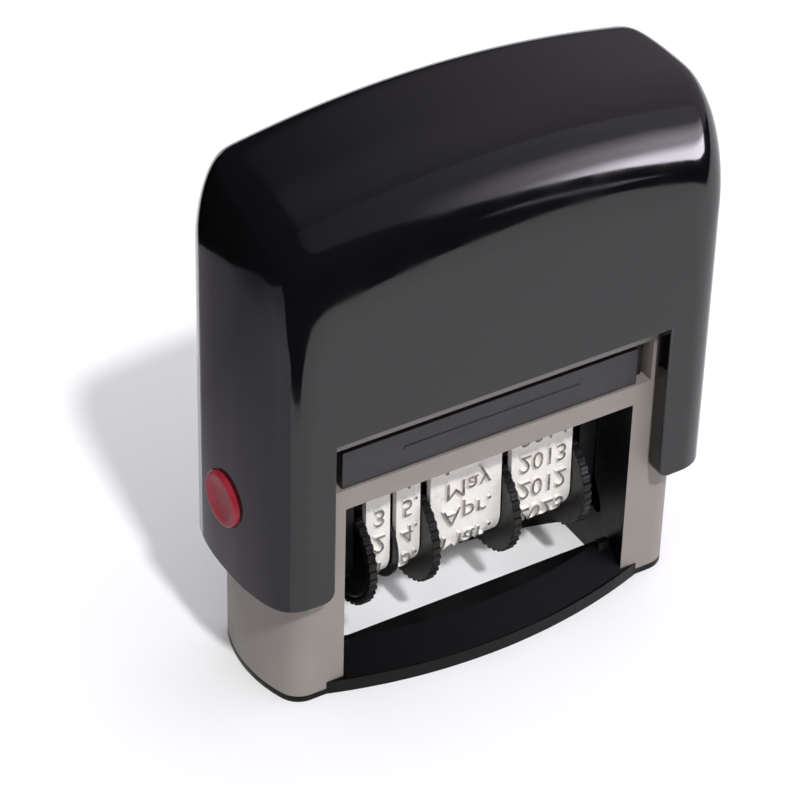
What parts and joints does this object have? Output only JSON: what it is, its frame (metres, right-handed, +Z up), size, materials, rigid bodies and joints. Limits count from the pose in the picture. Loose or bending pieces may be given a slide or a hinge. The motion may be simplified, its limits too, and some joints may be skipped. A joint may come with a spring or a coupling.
{
  "type": "self-inking date stamp",
  "caption": "Self-inking date stamp: a sliding sprung cover over an open frame, with a carriage of date bands that turns over from its ink pad to the paper.",
  "frame": {"origin": "on the table, under the middle of the foot", "axes": "+Z up, +X to the right along the stamp, -Y towards the front"},
  "size_m": [0.058, 0.0222, 0.0666],
  "materials": {
    "cover_plastic": "glossy black moulded ABS",
    "frame_plastic": "warm light grey moulded ABS, satin",
    "foot_plastic": "black moulded ABS, satin",
    "guide_plastic": "black moulded acetal",
    "cartridge_plastic": "black moulded polypropylene",
    "inked_felt": "felt soaked with dark ink",
    "yoke_plastic": "dark grey moulded acetal",
    "spring_steel": "drawn spring steel",
    "carriage_plastic": "black moulded acetal",
    "pin_steel": "turned steel",
    "wheel_plastic": "black moulded acetal, slightly glossy",
    "date_rubber": "ivory vulcanised rubber",
    "button_plastic": "dark red moulded plastic"
  },
  "bodies": {
    "base": {"frame_shell": "frame_plastic", "guide_plate_left": "guide_plastic", "guide_plate_right": "guide_plastic", "foot_plate": "foot_plastic", "return_spring": "spring_steel"},
    "cover": {"outer_cover": "cover_plastic", "inner_yoke": "yoke_plastic", "lock_spring_left": "spring_steel", "lock_spring_right": "spring_steel"},
    "button_left": {"lock_button_left": "button_plastic"},
    "button_right": {"lock_button_right": "button_plastic"},
    "carriage": {"carriage_body": "carriage_plastic", "pivot_pin_left": "pin_steel", "pivot_pin_right": "pin_steel", "wheel_axle": "pin_steel", "axle_clip_left": "pin_steel", "axle_clip_right": "pin_steel", "day_separator": "wheel_plastic", "day_tens_band": "date_rubber", "day_units_band": "date_rubber", "month_band": "date_rubber", "year_band": "date_rubber"},
    "wheel_day_tens": {"day_tens_wheel": "wheel_plastic"},
    "wheel_day_units": {"day_units_wheel": "wheel_plastic"},
    "wheel_month": {"month_wheel": "wheel_plastic"},
    "wheel_year": {"year_wheel": "wheel_plastic"},
    "cartridge": {"ink_cartridge": "cartridge_plastic", "ink_felt": "inked_felt"}
  },
  "joints": [
    {"name": "cover_slide", "type": "slide", "parent": "base", "child": "cover", "axis": [0, 0, 1], "range_m": [-0.0145, 0], "stiffness_N_per_m": 500, "springref_m": 0.001, "deforming": ["return_spring"]},
    {"name": "carriage_flip", "type": "hinge", "parent": "cover", "child": "carriage", "pos_m": [0, 0, 0.0216], "axis": [-1, 0, 0], "range_deg": [0, 180]},
    {"name": "button_left_slide", "type": "slide", "parent": "cover", "child": "button_left", "axis": [1, 0, 0], "range_m": [0, 0.0008], "stiffness_N_per_m": 500, "deforming": ["lock_spring_left"]},
    {"name": "button_right_slide", "type": "slide", "parent": "cover", "child": "button_right", "axis": [-1, 0, 0], "range_m": [0, 0.0008], "stiffness_N_per_m": 500, "deforming": ["lock_spring_right"]},
    {"name": "day_tens_turn", "type": "hinge", "parent": "carriage", "child": "wheel_day_tens", "pos_m": [0, 0, 0.0127], "axis": [1, 0, 0], "continuous": true},
    {"name": "day_units_turn", "type": "hinge", "parent": "carriage", "child": "wheel_day_units", "pos_m": [0, 0, 0.0127], "axis": [1, 0, 0], "continuous": true},
    {"name": "month_turn", "type": "hinge", "parent": "carriage", "child": "wheel_month", "pos_m": [0, 0, 0.0127], "axis": [1, 0, 0], "continuous": true},
    {"name": "year_turn", "type": "hinge", "parent": "carriage", "child": "wheel_year", "pos_m": [0, 0, 0.0127], "axis": [1, 0, 0], "continuous": true},
    {"name": "cartridge_slide", "type": "slide", "parent": "base", "child": "cartridge", "axis": [0, -1, 0], "range_m": [0, 0.015]}
  ],
  "couplings": [
    {"joint": "carriage_flip", "follows": "cover_slide", "rad_per_m": -216.66}
  ]
}
